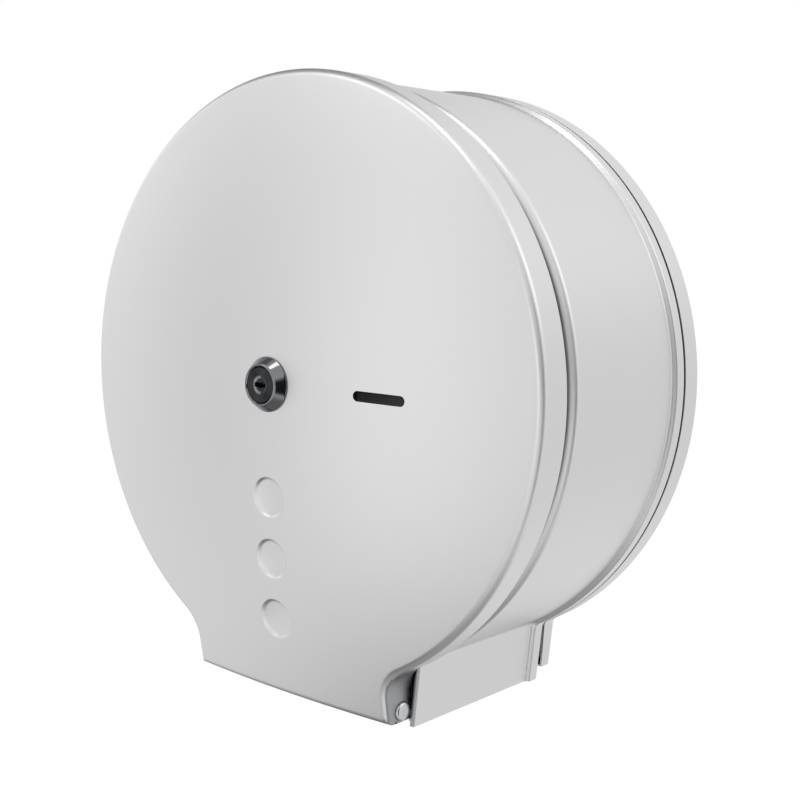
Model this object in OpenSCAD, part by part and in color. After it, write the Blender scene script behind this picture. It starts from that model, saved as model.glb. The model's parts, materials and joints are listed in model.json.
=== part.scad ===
// Wall-mounted jumbo toilet roll dispenser in sheet steel.
// Origin: on the wall plane, on the axis of the round body.
// +Z is up, +X is to the right, and -Y points out of the wall.

/* [Body] */
// Outer radius of the lid and of the back plate
body_r = 132; // [110:1:165]
// Distance from the wall to the middle of the lid's face
depth = 132; // [125:1:160]
// Thickness of the steel sheet
sheet = 1.0; // [0.8:0.1:1.5]
// Depth of the back plate's rim
back_rim = 12.5; // [8:0.5:20]
// Gap between the back plate's rim and the drum
shadow_gap = 1.3; // [0.8:0.1:3]

/* [Lid] */
// Radius of the lid's crowned face
face_r = 690; // [500:10:1200]
// Depth of the lid's flange, measured behind the rounded rim
flange = 15; // [12:0.5:20]
// Radius that rounds the face into the flange
rim_round = 3; // [2:0.25:5]
// Gap between the lid's flange and the drum's neck
neck_gap = 9; // [1.5:0.25:12]
// Length of the level slot between its end centres
slot_length = 21; // [10:1:40]
// Width of the level slot
slot_w = 4.3; // [3:0.1:8]
// Distance from the body's axis to the middle of the level slot
slot_x = 60; // [48:1:80]
// Diameter of each pressed dimple
dimple_d = 17.4; // [10:0.2:24]
// Depth of each pressed dimple
dimple_depth = 1.8; // [0.8:0.1:3]
// Distance between neighbouring dimples
dimple_pitch = 27.4; // [24:0.2:32]
// Height of the first dimple, below the lock
dimple_drop = 49; // [40:1:60]
// Number of dimples
dimple_count = 3; // [1:1:3]

/* [Foot] */
// Half width of the lid's foot at its lower edge
lid_foot_w = 58.5; // [50:0.5:58.5]
// Half width of the drum's foot at its lower edge
drum_foot_w = 61.5; // [54:0.5:74]
// Lean of the drum's foot, in degrees
foot_lean = 4.8; // [0:0.2:6]
// Distance that the lid's foot reaches below the round body
foot_drop = 7.6; // [5:0.2:20]
// Extra length of the drum's foot below the lid's foot
foot_extra = 2.9; // [0:0.1:6]
// Radius between the round body and the lid's foot
lid_waist = 16; // [8:1:25]
// Radius between the round body and the drum's foot
drum_waist = 4; // [2:0.5:10]

/* [Hinge] */
// Diameter of the rivets that the lid turns on
pin_d = 4; // [3:0.25:6]
// Diameter of the rivet heads
pin_head_d = 8.8; // [7:0.2:9]
// Distance from the lid's rim back to the hinge axis
pin_back = 12.75; // [11.25:0.5:15.25]
// Height of the hinge axis above the lid's lower edge
pin_up = 4.6; // [4:0.1:8]
// Running clearance of the hinge rivets, on the radius
pin_clearance = 0.06; // [0.03:0.01:0.1]
// Thickness of the hinge brackets
bracket_t = 1.5; // [1:0.1:2]

/* [Spindle] */
// Diameter of the hub that the roll's core sits on
hub_d = 44; // [38:0.5:56]
// Length of the hub's core seat
hub_length = 82; // [60:1:95]
// Diameter of the steel axle
axle_d = 16; // [12:0.5:18]
// Running clearance of the hub on the axle, on the radius
hub_clearance = 0.08; // [0.04:0.01:0.1]
// Diameter of the axle's welded foot
axle_foot_d = 60; // [50:1:80]

/* [Lock] */
// Diameter of the lock's bezel where it meets the face
bezel_d = 23.5; // [20:0.5:28]
// Diameter of the bezel's front, around the plug
plug_d = 15.5; // [12:0.25:17]
// Height of the bezel above the face
bezel_h = 4.6; // [3:0.2:7]
// Diameter of the lock's barrel
barrel_d = 18; // [16:0.5:19]
// Length of the lock's barrel behind the face
barrel_length = 17; // [14:0.5:18]
// Length of the cam from the lock's axis to its tip
cam_length = 17.5; // [14:0.5:18]

/* [Wall fixing] */
// Diameter of the holes for the wall screws
wall_hole_d = 6; // [4:0.5:8]
// Distance between the wall holes, across
wall_pitch_x = 120; // [90:1:140]
// Distance between the wall holes, up and down
wall_pitch_z = 100; // [80:1:120]

/* [Hidden] */
$fn = 64;
touch = 0.1;         // clearance between pieces that are assembled loosely

// Number of points on each stretch of the outline
arc_steps = 64;
waist_steps = 6;
low_steps = 4;

// Depths and heights of the shells
lid_low = -body_r - foot_drop;
drum_low = lid_low - foot_extra;
face_cy = face_r - depth;                          // centre of the crowned face
rim_y = face_cy - sqrt(pow(face_r, 2) - pow(body_r, 2));
lid_rear = rim_y + flange;
foot_flange_extra = 3.5;                           // the flange is deeper at the foot
foot_flange_ease = 14;                             // height over which it gets deeper
round_steps = 4;                                   // rings round the lid's rim
round_sweep = 80;                                  // how far that rim turns, in degrees
crown_rings = [0.2, 0.5, 0.8];                     // rings on the face, as shares of its size
turned_in = 5;                                     // narrow edge turned in under the foot
dimple_slope = 42;                                 // of a dimple's wall, from its axis
drum_r = body_r - 2;                               // the main band
neck_r = body_r - sheet - neck_gap;
neck_front = rim_y + 8;
neck_low = drum_waist / 2                          // the neck ends above the foot
    + waist_centre(neck_r, drum_foot_w, drum_low, drum_waist, foot_lean)[1];
drum_rear = -back_rim - shadow_gap;
shoulder_y = lid_rear + 10;                        // middle of the front shoulder
shoulder_run = 4;                                  // its length
rear_step_y = drum_rear - 6.1;                     // middle of the step at the rear
rear_step_run = 2.2;                               // its length
bend_steps = 3;                                    // stretches of each S-shaped bend
drum_lip = 11;                                     // inward lip at the drum's rear
foot_front = lid_rear + 3;                         // front edge of the drum's foot
hem_d = 2.4;                                       // hem on that edge
back_foot_w = drum_foot_w + 0.5;
back_low = drum_low + 2;
back_round = 2.5;                                  // corner round of the back plate

// Hinge
pin_y = round(2 * (rim_y + pin_back)) / 2;         // kept on a half millimetre
pin_z = lid_low + pin_up;
washer_t = 0.9;
ear_out = lid_foot_w - sheet - washer_t - 2 * touch;
ear_r = 6;
ear_edge = 5;                                      // from the axis to the ear's front
ear_rear = foot_front + 4;                         // where the ear starts to step out
ear_seat_y = ear_rear + 5;                         // where it meets the drum's wall
ear_seat = [14, 15];                               // length and height of that seat
ear_top = pin_z + 19;
head_h = 1.9;

// Tear blades
blade_t = 1;
blade_h = 9;
tooth = 3;                                         // pitch of the teeth
tooth_h = 2;
blade_front = foot_front + 5;
blade_rear = rear_step_y - 2;

// Drum brackets
bracket_angles = [45, 135, 225, 315];
bracket_w = 14;
lip_hole_r = body_r - drum_lip + 4;
rivet_d = 4;
rivet_head_d = 7;
rivet_head_h = 1.2;

// Spindle, from the wall outwards
foot_plate_t = 2;
boss_d = axle_d + 8;
boss_h = 9;
boss_y = -sheet - foot_plate_t - boss_h;
hub_flange_t = 2;
hub_rear = boss_y - 0.4;
hub_front = hub_rear - hub_flange_t - hub_length;
hub_flange_d = hub_d + 16;
hub_wall = 2.6;
hub_bearing_d = axle_d + 6;
hub_ribs = 6;
clip_t = 1;
clip_y = hub_front - 0.3;
clip_d = axle_d + 8;
groove_d = axle_d - 2.4;
axle_front = clip_y - clip_t - 3.5;
spindle_rivet_r = axle_foot_d / 2 - 6;

// Lock and keeper
barrel_flat = barrel_d - 2;
barrel_rear = -depth + sheet + barrel_length;      // the cam sits on this face
plug_core_d = 11;
drive = 6;                                         // square drive of the cam
cam_t = 1.6;
cam_w = 9;
nut_w = barrel_d + 6;
nut_h = 3;
nut_seat = crown_sag(nut_w / sqrt(3)) + touch / 2; // the nut's corners meet the crown first
screw_d = 5;
keeper_t = 1.5;
keeper_w = 14;
keeper_gap = 1.2;                                  // play between cam and keeper
keeper_out = cam_length + 2.6;
keeper_lip = 8.6;
plug_face_t = 0.8;
plug_recess = 0.2;                                 // gap round and behind the plug's face
plug_front = -depth - bezel_h + plug_recess;
plug_dish_d = 9.4;
plug_dish = 1.3;                                   // depth of the dish
key_l = 6.4;
key_w = 1.9;
key_depth = 9;

// ---- Outline of the round body with its foot, as [x, z] points ----

// Centre of the fillet between the round body and the foot, on the right
function waist_centre(r, w, low, f, lean) =
    let (a = w * cos(lean) - low * sin(lean) + f,
         b = sqrt(pow(r + f, 2) - pow(a, 2)))
    [a * cos(lean) - b * sin(lean), -a * sin(lean) - b * cos(lean)];

// The right half, from the foot's lower corner to the top
function half_outline(r, w, low, f, lean) =
    let (c = waist_centre(r, w, low, f, lean),
         a0 = 180 - lean,
         start = atan2(c[1], c[0]))
    concat(
        [[w, low]],
        [for (i = [0:waist_steps])
            let (a = a0 + (180 + start - a0) * i / waist_steps)
            [c[0] + f * cos(a), c[1] + f * sin(a)]],
        [for (i = [1:arc_steps / 2])
            let (a = start + (90 - start) * 2 * i / arc_steps)
            [r * cos(a), r * sin(a)]]
    );

// The whole outline, anticlockwise as seen from the front
function outline(r, w, low, f, lean) =
    let (right = half_outline(r, w, low, f, lean), n = len(right))
    concat(
        right,
        [for (i = [n - 2:-1:0]) [-right[i][0], right[i][1]]],
        [for (i = [1:low_steps - 1]) [-w + 2 * w * i / low_steps, low]]
    );

// The same outline as a ring in space, at depth y
function ring(r, w, low, f, lean, y) =
    [for (p = outline(r, w, low, f, lean)) [p[0], y, p[1]]];

// How far the leaning foot's corner moves in when its outline is drawn in
function foot_in(in) = in / cos(foot_lean) - in * tan(foot_lean);

// A skin over rings of equal length, which run outwards from the wall on the
// outside of a shell and back on its inside. It ends in two tips, or joins up.
module skin(rings, tips = []) {
    n = len(rings[0]);
    m = len(rings);
    closed = len(tips) == 0;
    polyhedron(
        points = concat([for (one = rings) each one], tips),
        faces = concat(
            [for (k = [0:closed ? m - 1 : m - 2]) for (i = [0:n - 1])
                let (j = (i + 1) % n, a = k * n, b = ((k + 1) % m) * n)
                each [[a + i, b + i, a + j], [a + j, b + i, b + j]]],
            closed ? [] : [for (i = [0:n - 1])
                let (j = (i + 1) % n, a = (m - 1) * n)
                each [[i, j, m * n], [a + j, a + i, m * n + 1]]]
        ),
        convexity = 8
    );
}

// ---- Placing helpers ----

// Children are drawn on the XY plane and stand along -Y from depth y
module from_wall(y) {
    translate([0, y, 0]) rotate([90, 0, 0]) children();
}

// Children point inwards from the crowned face, at height z
module on_face(z) {
    translate([0, face_cy, 0])
        rotate([-90 - asin(z / face_r), 0, 0])
            translate([0, 0, -face_r]) children();
}

// Children stand on the inside of the drum's foot: X points inwards, Z up the wall
module on_foot_wall(side) {
    translate([side * (drum_foot_w - sheet / cos(foot_lean)), 0, drum_low])
        rotate([0, side * foot_lean, 0])
            mirror([side > 0 ? 1 : 0, 0, 0]) children();
}

module dimple_places() {
    for (i = [0:dimple_count - 1]) on_face(-dimple_drop - i * dimple_pitch) children();
}

module bracket_places() {
    for (a = bracket_angles) rotate([0, -a, 0]) children();
}

module spindle_rivet_places() {
    for (a = [90, 210, 330]) rotate([0, -a, 0]) translate([spindle_rivet_r, 0, 0]) children();
}

// ---- Shells ----

// One side of the lid's sheet, from the middle of the face to the flange's rear
function lid_side(in) =
    let (r = body_r - in,
         w = lid_foot_w - in,
         low = lid_low + in,
         f = lid_waist + in,
         rr = rim_round - in / 2)
    concat(
        [for (s = crown_rings)
            [for (p = outline(r - rr, w - rr, low, f + rr, 0))
                [s * p[0], face_y(s * p[0], s * p[1], in), s * p[1]]]],
        [for (k = [round_steps:-1:0])
            let (a = round_sweep * k / round_steps, d = rr * (1 - cos(a)))
            [for (p = outline(r - d, w - d, low, f + d, 0))
                [p[0], face_y(p[0], p[1], in) + rr * (1 - sin(a)), p[1]]]],
        [[for (p = outline(r, w, low, f, 0)) [p[0], flange_rear(p[1]), p[1]]]]
    );

// Depth of the crowned face, or of its inside, at a point
function face_y(x, z, in) = face_cy - sqrt(pow(face_r - in, 2) - x * x - z * z);

// Half a wave that rises from 0 to 1
function ease(t) = (1 - cos(180 * min(max(t, 0), 1))) / 2;

// The flange's rear edge, which lies further back at the foot
function flange_rear(z) =
    lid_rear + foot_flange_extra
        * ease(1 + (waist_centre(body_r, lid_foot_w, lid_low, lid_waist, 0)[1] - z) / foot_flange_ease);

// How far the inside of the face falls back at a radius within its first ring
function crown_sag(r) =
    let (ring_r = crown_rings[0] * (body_r - rim_round), inside_r = face_r - sheet)
    (inside_r - sqrt(pow(inside_r, 2) - pow(ring_r, 2))) * r / ring_r;

function reversed(list) = [for (i = [len(list) - 1:-1:0]) list[i]];

module lid_pan() {
    skin(concat(lid_side(sheet), reversed(lid_side(0))),
         tips = [[0, sheet - depth, 0], [0, -depth, 0]]);
}

module slot_form() {
    translate([slot_x, 0, 0]) rotate([90, 0, 0]) linear_extrude(height = depth + 10) {
        square([slot_length, slot_w], center = true);
        for (s = [-1, 1]) translate([s * slot_length / 2, 0]) circle(d = slot_w);
    }
}

module barrel_section(gap = 0) {
    intersection() {
        circle(d = barrel_d + 2 * gap);
        square([barrel_d + 2, barrel_flat + 2 * gap], center = true);
    }
}

// The lid: a pressed pan with a crowned face, a rounded rim and a flange
module lid() {
    floor_d = dimple_d - 2 * dimple_depth * tan(dimple_slope);
    color("gainsboro")
    difference() {
        union() {
            lid_pan();
            dimple_places() translate([0, 0, sheet / 2])
                cylinder(h = dimple_depth + sheet / 2, d1 = dimple_d + 2 * sheet,
                         d2 = floor_d + 2 * sheet);
        }
        dimple_places() translate([0, 0, -1])
            cylinder(h = 1 + dimple_depth, d1 = dimple_d + 2 * tan(dimple_slope), d2 = floor_d);
        from_wall(0) linear_extrude(height = depth + 10) barrel_section(touch);
        slot_form();
        // The foot has no floor, apart from a narrow turned-in edge
        translate([sheet - lid_foot_w, rim_y + turned_in + sheet, lid_low - 1])
            cube([2 * (lid_foot_w - sheet), flange + foot_flange_extra, 2 + sheet]);
        translate([0, pin_y, pin_z]) rotate([0, 90, 0])
            cylinder(h = 3 * body_r, r = pin_d / 2 + pin_clearance, center = true);
    }
}

// The drum: a band with a neck inside the lid, a step at the rear and an open foot
module drum() {
    rear_out = body_r - drum_r;
    // Each station is a depth, then how far the band and the foot lie outwards
    stations = concat(
        [[neck_front, neck_r - drum_r, 0]],
        [for (i = [0:bend_steps]) let (t = i / bend_steps)
            [shoulder_y + (t - 0.5) * shoulder_run, (neck_r - drum_r) * (1 - ease(t)), 0]],
        [for (i = [0:bend_steps]) let (t = i / bend_steps)
            [rear_step_y + (t - 0.5) * rear_step_run, rear_out * ease(t), rear_out * ease(t)]],
        [[drum_rear, rear_out, rear_out]]
    );
    last = len(stations) - 1;
    function at(s, in, y) = ring(drum_r + s[1] - in, drum_foot_w + s[2] - foot_in(in),
                                 drum_low + in, drum_waist + in, foot_lean, y);
    inner = [for (i = [0:last])
        at(stations[i], sheet, i == last ? drum_rear - sheet : stations[i][0])];
    lip = [for (y = [drum_rear - sheet, drum_rear]) at(stations[last], drum_lip, y)];
    outer = [for (i = [last:-1:0]) at(stations[i], 0, stations[i][0])];
    color("silver")
    difference() {
        union() {
            difference() {
                skin(concat(inner, lip, outer));
                translate([-body_r, foot_front - depth, drum_low - 1])
                    cube([2 * body_r, depth, neck_low - drum_low + 1]);
            }
            for (side = [-1, 1]) on_foot_wall(side)
                translate([hem_d / 2 - sheet - 0.1, foot_front + 0.2, 0])
                    cylinder(h = 0.85 * (neck_low - drum_low), d = hem_d);
        }
        // The paper outlet: the foot has no floor
        translate([0, 0, drum_low])
            cube([2 * (drum_foot_w - sheet), 2 * depth, 2.5 * drum_lip], center = true);
        bracket_places() translate([lip_hole_r, 0, 0]) from_wall(0)
            cylinder(h = 30, d = rivet_d + 2 * touch);
    }
}

// The back plate: a shallow pan with the same outline
module back_plate() {
    function rim(in, y) = ring(body_r - in, back_foot_w - foot_in(in), back_low + in,
                               drum_waist + in, foot_lean, y);
    function corner(in, r) = [for (a = [90:-30:0])
        rim(in + r * (1 - cos(a)), -in - r * (1 - sin(a)))];
    inside = concat(corner(sheet, back_round - sheet / 2), [rim(sheet, -back_rim)]);
    outside = concat(corner(0, back_round), [rim(0, -back_rim)]);
    color("gainsboro")
    difference() {
        skin(concat(inside, reversed(outside)), tips = [[0, -sheet, 0], [0, 0, 0]]);
        for (sx = [-1, 1], sz = [-1, 1])
            translate([sx * wall_pitch_x / 2, 0, sz * wall_pitch_z / 2])
                from_wall(10) cylinder(h = 30, d = wall_hole_d);
        spindle_rivet_places() from_wall(10) cylinder(h = 30, d = rivet_d + 2 * touch);
    }
}

// Z-shaped brackets that hold the drum off the back plate
module drum_brackets() {
    t = bracket_t;
    r0 = body_r - drum_lip - 26;
    r1 = r0 + 15;
    r2 = body_r - drum_lip + 8;
    color("darkgray")
    bracket_places() difference() {
        translate([0, 0, -bracket_w / 2]) linear_extrude(height = bracket_w)
            polygon([[r0, -sheet], [r1, -sheet], [r1, drum_rear + t], [r2, drum_rear + t],
                     [r2, drum_rear], [r1 - t, drum_rear], [r1 - t, -sheet - t],
                     [r0, -sheet - t]]);
        translate([lip_hole_r, 0, 0]) from_wall(0) cylinder(h = 30, d = rivet_d + 2 * touch);
    }
}

// A rivet along -Y with its head at the front
module rivet(rear, front, tail) {
    from_wall(rear) cylinder(h = rear - front, d = rivet_d);
    from_wall(front) {
        intersection() {
            cylinder(h = rivet_head_h, d = rivet_head_d);
            translate([0, 0, rivet_head_h - 6]) sphere(r = 6);
        }
    }
    if (tail > 0) from_wall(rear + tail) cylinder(h = tail, d = rivet_d + 1.6);
}

module bracket_rivets() {
    color("lightgray")
    bracket_places() translate([lip_hole_r, 0, 0])
        rivet(drum_rear + bracket_t, drum_rear - sheet, 1);
}

// ---- Hinge ----

// An ear inside the foot: it carries the rivet and steps out to the drum's wall
module hinge_bracket(side) {
    x0 = ear_out - bracket_t;
    seat_z = ear_top - ear_seat[1];
    seat_middle = seat_z + ear_seat[1] / 2;
    jog = drum_foot_w - sheet / cos(foot_lean) - ear_out
        + (seat_middle - drum_low) * tan(foot_lean);
    bend = bracket_t * tan(22.5);
    color("darkgray")
    difference() {
        union() {
            mirror([side > 0 ? 0 : 1, 0, 0])
                translate([x0, 0, 0]) rotate([90, 0, 90]) linear_extrude(height = bracket_t)
                    union() {
                        translate([pin_y, pin_z]) circle(r = ear_r);
                        polygon([[pin_y - ear_edge, pin_z], [ear_rear, pin_z - 2],
                                 [ear_rear, ear_top], [pin_y, ear_top],
                                 [pin_y - ear_edge, ear_top - ear_edge]]);
                    }
            // Two bends carry it out to a seat that is welded to the wall
            on_foot_wall(side) translate([0, 0, seat_z - drum_low])
                linear_extrude(height = ear_seat[1])
                    polygon([[0, ear_seat_y + ear_seat[0]], [0, ear_seat_y],
                             [jog, ear_rear + bend], [jog, ear_rear - bracket_t],
                             [jog + bracket_t, ear_rear - bracket_t],
                             [jog + bracket_t, ear_rear],
                             [bracket_t, ear_seat_y + bend],
                             [bracket_t, ear_seat_y + ear_seat[0]]]);
        }
        translate([0, pin_y, pin_z]) rotate([0, 90, 0])
            cylinder(h = 3 * body_r, r = pin_d / 2 + pin_clearance / 2, center = true);
    }
}

module hinge_rivet(side) {
    shank = sheet + washer_t + bracket_t + 3 * touch;
    color("lightgray")
    mirror([side > 0 ? 0 : 1, 0, 0])
        translate([lid_foot_w + touch, pin_y, pin_z]) rotate([0, 90, 0]) {
            intersection() {
                cylinder(h = head_h, d = pin_head_d);
                translate([0, 0, head_h - 1.1 * pin_head_d / 1.6])
                    sphere(r = 1.1 * pin_head_d / 1.6);
            }
            translate([0, 0, -shank]) cylinder(h = shank, d = pin_d);
            translate([0, 0, -shank - 1.2]) cylinder(h = 1.2, d = pin_d + 2);
        }
}

module hinge_washer(side) {
    color("white")
    mirror([side > 0 ? 0 : 1, 0, 0])
        translate([ear_out + touch, pin_y, pin_z]) rotate([0, 90, 0]) difference() {
            cylinder(h = washer_t, d = pin_head_d + 1.4);
            translate([0, 0, -1]) cylinder(h = washer_t + 2, r = pin_d / 2 + pin_clearance);
        }
}

// ---- Tear blades ----

module tear_blade(side) {
    length = blade_rear - blade_front;
    count = floor(length / tooth);
    color("silver")
    on_foot_wall(side)
        translate([0, blade_front, sheet]) rotate([90, 0, 0]) rotate([0, 90, 0])
            linear_extrude(height = blade_t)
                polygon(concat(
                    [[0, blade_h], [0, tooth_h]],
                    [for (i = [0:count - 1]) each [[(i + 0.5) * tooth, 0],
                                                   [(i + 1) * tooth, tooth_h]]],
                    [[count * tooth, blade_h]]
                ));
}

// ---- Lock ----

module lock_barrel() {
    color("silver")
    difference() {
        union() {
            from_wall(barrel_rear) linear_extrude(height = barrel_rear + depth)
                barrel_section();
            from_wall(-depth) rotate_extrude(convexity = 4)
                polygon([[0, 0], [bezel_d / 2, 0], [bezel_d / 2, 0.8],
                         [plug_d / 2 + 1.6, bezel_h - 0.3], [plug_d / 2 + 1.2, bezel_h],
                         [0, bezel_h]]);
        }
        from_wall(barrel_rear + 1) cylinder(h = 60, d = plug_core_d + 2 * touch);
        from_wall(plug_front + plug_face_t + plug_recess)
            cylinder(h = bezel_h, d = plug_d + 2 * touch);
    }
}

module lock_plug() {
    color("dimgray")
    difference() {
        union() {
            from_wall(barrel_rear)
                cylinder(h = barrel_rear - plug_front - plug_face_t, d = plug_core_d);
            from_wall(plug_front + plug_face_t) cylinder(h = plug_face_t, d = plug_d);
            from_wall(barrel_rear + cam_t) linear_extrude(height = cam_t)
                square(drive - touch, center = true);
        }
        from_wall(plug_front + plug_dish) cylinder(h = 2 * plug_dish, d = plug_dish_d);
        from_wall(plug_front + key_depth) linear_extrude(height = key_depth + 1)
            square([key_l, key_w], center = true);
        from_wall(barrel_rear + 5) cylinder(h = 14, d = screw_d - 2 + 2 * touch);
    }
}

module lock_nut() {
    color("silver")
    from_wall(-depth + sheet + nut_seat + nut_h) difference() {
        cylinder(h = nut_h, d = nut_w / cos(30), $fn = 6);
        translate([0, 0, -1]) cylinder(h = nut_h + 2, d = barrel_d + touch);
    }
}

// At rest the cam points up, clear of the keeper
module lock_cam() {
    color("silver")
    from_wall(barrel_rear + cam_t) linear_extrude(height = cam_t) difference() {
        union() {
            circle(d = drive + 9);
            translate([-cam_w / 2, 0]) square([cam_w, cam_length - cam_w / 2]);
            translate([0, cam_length - cam_w / 2]) circle(d = cam_w);
        }
        square(drive + touch, center = true);
    }
}

module cam_screw() {
    color("silver") {
        from_wall(barrel_rear + cam_t) cylinder(h = 8, d = screw_d - 2);
        from_wall(barrel_rear + cam_t + 2.2) difference() {
            cylinder(h = 2.2, d = 8);
            translate([0, 0, -1]) for (a = [0, 90]) rotate(a)
                translate([-2, -0.5, 0]) cube([4, 1, 2]);
        }
    }
}

// ---- Spindle ----

module spindle_foot() {
    color("darkgray")
    difference() {
        union() {
            from_wall(-sheet) cylinder(h = foot_plate_t, d = axle_foot_d);
            from_wall(-sheet) cylinder(h = foot_plate_t + boss_h, d = boss_d);
        }
        from_wall(0) cylinder(h = 40, d = axle_d + touch);
        spindle_rivet_places() from_wall(10) cylinder(h = 30, d = rivet_d + 2 * touch);
    }
}

module spindle_rivets() {
    color("lightgray")
    spindle_rivet_places() rivet(0, -sheet - foot_plate_t, 0);
}

module axle() {
    color("silver")
    difference() {
        from_wall(-sheet) rotate_extrude()
            polygon([[0, 0], [axle_d / 2, 0],
                     [axle_d / 2, -sheet - clip_y - 0.1], [groove_d / 2, -sheet - clip_y - 0.1],
                     [groove_d / 2, -sheet - clip_y + clip_t + 0.1],
                     [axle_d / 2, -sheet - clip_y + clip_t + 0.1],
                     [axle_d / 2, -sheet - axle_front - 0.8],
                     [axle_d / 2 - 0.8, -sheet - axle_front], [0, -sheet - axle_front]]);
        from_wall(axle_front + 14) cylinder(h = 20, d = screw_d + touch);
    }
}

// The hub turns on the axle and carries the roll's core
module core_hub() {
    length = hub_flange_t + hub_length;
    bore = axle_d / 2 + hub_clearance;
    color("white")
    from_wall(hub_rear) difference() {
        union() {
            rotate_extrude(convexity = 6)
                polygon([[hub_bearing_d / 2, 0], [hub_flange_d / 2 - 1, 0],
                         [hub_flange_d / 2, 1], [hub_flange_d / 2, hub_flange_t],
                         [hub_d / 2, hub_flange_t], [hub_d / 2, length - 4],
                         [hub_d / 2 - 1.5, length], [hub_d / 2 - hub_wall, length],
                         [hub_d / 2 - hub_wall, hub_flange_t], [hub_bearing_d / 2, hub_flange_t]]);
            cylinder(h = length, d = hub_bearing_d);
            for (i = [0:hub_ribs - 1]) rotate(i * 360 / hub_ribs)
                translate([axle_d / 2 + 1, -0.9, 0])
                    cube([hub_d / 2 - hub_wall / 2 - axle_d / 2 - 1, 1.8, length - 2]);
        }
        translate([0, 0, -1]) cylinder(h = length + 2, r = bore);
    }
}

module hub_clip() {
    color("dimgray")
    from_wall(clip_y) linear_extrude(height = clip_t) difference() {
        circle(d = clip_d);
        circle(d = groove_d + touch);
        translate([-groove_d / 2 + 1, -clip_d]) square([groove_d - 2, clip_d]);
    }
}

// ---- Keeper ----

// A hooked plate on the axle's end: the cam turns in behind its lip
module keeper() {
    t = keeper_t;
    lip_y = barrel_rear - keeper_gap;
    color("silver")
    difference() {
        translate([0, 0, -keeper_w / 2]) linear_extrude(height = keeper_w)
            polygon([[-axle_d / 2, axle_front], [keeper_out, axle_front],
                     [keeper_out, lip_y - t], [keeper_out - keeper_lip, lip_y - t],
                     [keeper_out - keeper_lip, lip_y], [keeper_out - t, lip_y],
                     [keeper_out - t, axle_front - t], [-axle_d / 2, axle_front - t]]);
        from_wall(axle_front + 1) cylinder(h = 10, d = screw_d + 2 * touch);
    }
}

module keeper_screw() {
    color("silver") {
        from_wall(axle_front + 12) cylinder(h = 12 + keeper_t, d = screw_d);
        from_wall(axle_front - keeper_t) difference() {
            cylinder(h = 2.4, d = 9);
            translate([0, 0, 1]) for (a = [0, 90]) rotate(a)
                translate([-2.5, -0.5, 0]) cube([5, 1, 3]);
        }
    }
}

back_plate();
drum();
drum_brackets();
bracket_rivets();
lid();
hinge_bracket(-1);  // hinge_bracket_left
hinge_bracket(1);  // hinge_bracket_right
hinge_rivet(-1);  // hinge_rivet_left
hinge_rivet(1);  // hinge_rivet_right
hinge_washer(-1);  // hinge_washer_left
hinge_washer(1);  // hinge_washer_right
tear_blade(-1);  // tear_blade_left
tear_blade(1);  // tear_blade_right
lock_barrel();
lock_plug();
lock_nut();
lock_cam();
cam_screw();
spindle_foot();
spindle_rivets();
axle();
core_hub();
hub_clip();
keeper();
keeper_screw();
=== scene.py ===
"""Looks of a wall-mounted jumbo toilet roll dispenser in satin stainless steel.

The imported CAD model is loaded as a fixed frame. Each sub-assembly below is a
class with its sizes in millimetres, in the frame's own axes: +X is right as
seen from the front, -Y comes out of the wall and +Z is up.
"""

from __future__ import annotations

import json
import logging
import math
from dataclasses import dataclass, field, replace
from enum import Enum
from typing import Callable, Sequence

import bmesh
import bpy
import numpy as np
from mathutils import Matrix, Vector
from mathutils.geometry import delaunay_2d_cdt

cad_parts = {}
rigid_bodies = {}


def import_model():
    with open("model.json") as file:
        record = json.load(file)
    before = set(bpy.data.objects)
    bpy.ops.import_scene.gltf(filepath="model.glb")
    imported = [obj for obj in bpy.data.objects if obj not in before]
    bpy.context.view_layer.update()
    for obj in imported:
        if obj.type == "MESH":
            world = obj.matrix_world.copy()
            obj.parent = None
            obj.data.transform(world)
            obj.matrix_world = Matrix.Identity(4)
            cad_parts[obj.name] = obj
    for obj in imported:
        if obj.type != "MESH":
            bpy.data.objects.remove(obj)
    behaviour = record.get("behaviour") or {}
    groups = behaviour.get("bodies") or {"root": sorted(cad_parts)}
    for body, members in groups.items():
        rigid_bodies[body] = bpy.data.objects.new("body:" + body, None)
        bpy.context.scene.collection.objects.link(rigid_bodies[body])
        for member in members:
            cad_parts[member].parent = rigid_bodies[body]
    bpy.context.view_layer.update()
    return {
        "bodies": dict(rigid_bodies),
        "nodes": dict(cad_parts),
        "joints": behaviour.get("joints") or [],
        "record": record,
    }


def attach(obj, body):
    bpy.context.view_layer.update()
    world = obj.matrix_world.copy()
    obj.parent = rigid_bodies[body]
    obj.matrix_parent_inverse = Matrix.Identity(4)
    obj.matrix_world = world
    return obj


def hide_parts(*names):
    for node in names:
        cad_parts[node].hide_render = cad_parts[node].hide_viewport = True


LOG = logging.getLogger("dispenser")
MM = 0.001
Point = tuple[float, float, float]
Flat = tuple[float, float]
Face = tuple[int, ...]
# Where the spindle's rivets go through the back plate: radius in mm, first angle in degrees
SPINDLE_RIVET_CIRCLE = 24.0
SPINDLE_RIVET_START = 90.0


class Body(Enum):
    """The bodies that the new pieces move with."""

    BASE = "base"
    LID = "lid"
    LOCK = "lock"


class Slot(Enum):
    """The record's material slots, one named for each new piece."""

    STEEL = "steel"
    RIVET = "rivet"
    CHROME = "chrome"


class Lay(Enum):
    """Which coordinates a brushed grain follows."""

    OBJECT = "Object"
    SHEET = "UV"


# ---- Mesh tools ----


def linked(name: str, data: bpy.types.ID) -> bpy.types.Object:
    """Makes an object of a mesh, camera or lamp and links it to the scene."""
    obj = bpy.data.objects.new(name, data)
    bpy.context.scene.collection.objects.link(obj)
    return obj


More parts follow.
